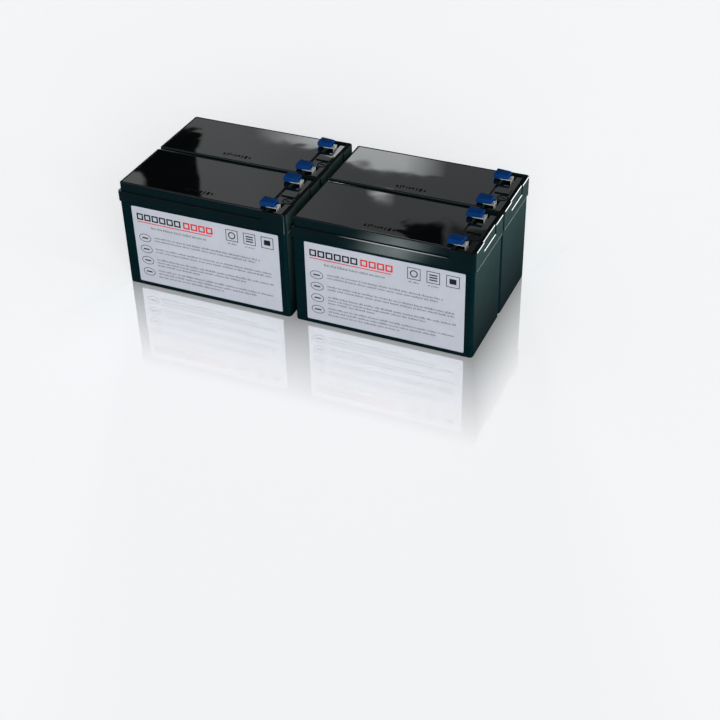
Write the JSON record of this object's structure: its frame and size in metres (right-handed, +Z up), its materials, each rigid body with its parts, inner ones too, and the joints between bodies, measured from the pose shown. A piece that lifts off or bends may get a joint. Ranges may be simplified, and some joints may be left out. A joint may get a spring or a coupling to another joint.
{
  "type": "ups battery cartridge",
  "caption": "Replacement battery set for an uninterruptible power supply: sealed lead-acid blocks standing side by side, with stepped lids, vent covers and sleeved tab terminals.",
  "frame": {"origin": "bottom centre of the whole set, on the surface that it stands on", "axes": "+X along the blocks towards their terminal ends, +Y away from the labelled fronts, +Z up"},
  "size_m": [0.305, 0.13, 0.0989],
  "materials": {
    "case_plastic": "black moulded plastic with a fine satin grain",
    "cover_plastic": "glossy black moulded plate, slightly wavy",
    "valve_rubber": "soft black rubber",
    "positive_lead": "dull brown lead dioxide paste on a lead grid",
    "negative_lead": "dull grey spongy lead on a lead grid",
    "glass_mat": "white absorbent glass fibre mat",
    "strap_lead": "cast grey lead",
    "tab_metal": "bright tin plate",
    "sleeve_plastic": "smooth blue soft plastic",
    "potting_resin": "black cast resin",
    "label_sheet": "white printed paper with a satin film"
  },
  "bodies": {
    "root": {"front_left_container": "case_plastic", "front_left_lid": "case_plastic", "front_left_vent_cover": "cover_plastic", "front_left_vent_caps": "valve_rubber", "front_left_positive_plates": "positive_lead", "front_left_negative_plates": "negative_lead", "front_left_separators": "glass_mat", "front_left_cell_connectors": "strap_lead", "front_left_positive_terminal": "tab_metal", "front_left_negative_terminal": "tab_metal", "front_left_positive_sleeve": "sleeve_plastic", "front_left_negative_sleeve": "sleeve_plastic", "front_left_terminal_seals": "potting_resin", "front_right_container": "case_plastic", "front_right_lid": "case_plastic", "front_right_vent_cover": "cover_plastic", "front_right_vent_caps": "valve_rubber", "front_right_positive_plates": "positive_lead", "front_right_negative_plates": "negative_lead", "front_right_separators": "glass_mat", "front_right_cell_connectors": "strap_lead", "front_right_positive_terminal": "tab_metal", "front_right_negative_terminal": "tab_metal", "front_right_positive_sleeve": "sleeve_plastic", "front_right_negative_sleeve": "sleeve_plastic", "front_right_terminal_seals": "potting_resin", "back_left_container": "case_plastic", "back_left_lid": "case_plastic", "back_left_vent_cover": "cover_plastic", "back_left_vent_caps": "valve_rubber", "back_left_positive_plates": "positive_lead", "back_left_negative_plates": "negative_lead", "back_left_separators": "glass_mat", "back_left_cell_connectors": "strap_lead", "back_left_positive_terminal": "tab_metal", "back_left_negative_terminal": "tab_metal", "back_left_positive_sleeve": "sleeve_plastic", "back_left_negative_sleeve": "sleeve_plastic", "back_left_terminal_seals": "potting_resin", "back_right_container": "case_plastic", "back_right_lid": "case_plastic", "back_right_vent_cover": "cover_plastic", "back_right_vent_caps": "valve_rubber", "back_right_positive_plates": "positive_lead", "back_right_negative_plates": "negative_lead", "back_right_separators": "glass_mat", "back_right_cell_connectors": "strap_lead", "back_right_positive_terminal": "tab_metal", "back_right_negative_terminal": "tab_metal", "back_right_positive_sleeve": "sleeve_plastic", "back_right_negative_sleeve": "sleeve_plastic", "back_right_terminal_seals": "potting_resin", "front_left_label": "label_sheet", "front_right_label": "label_sheet"}
  },
  "joints": []
}
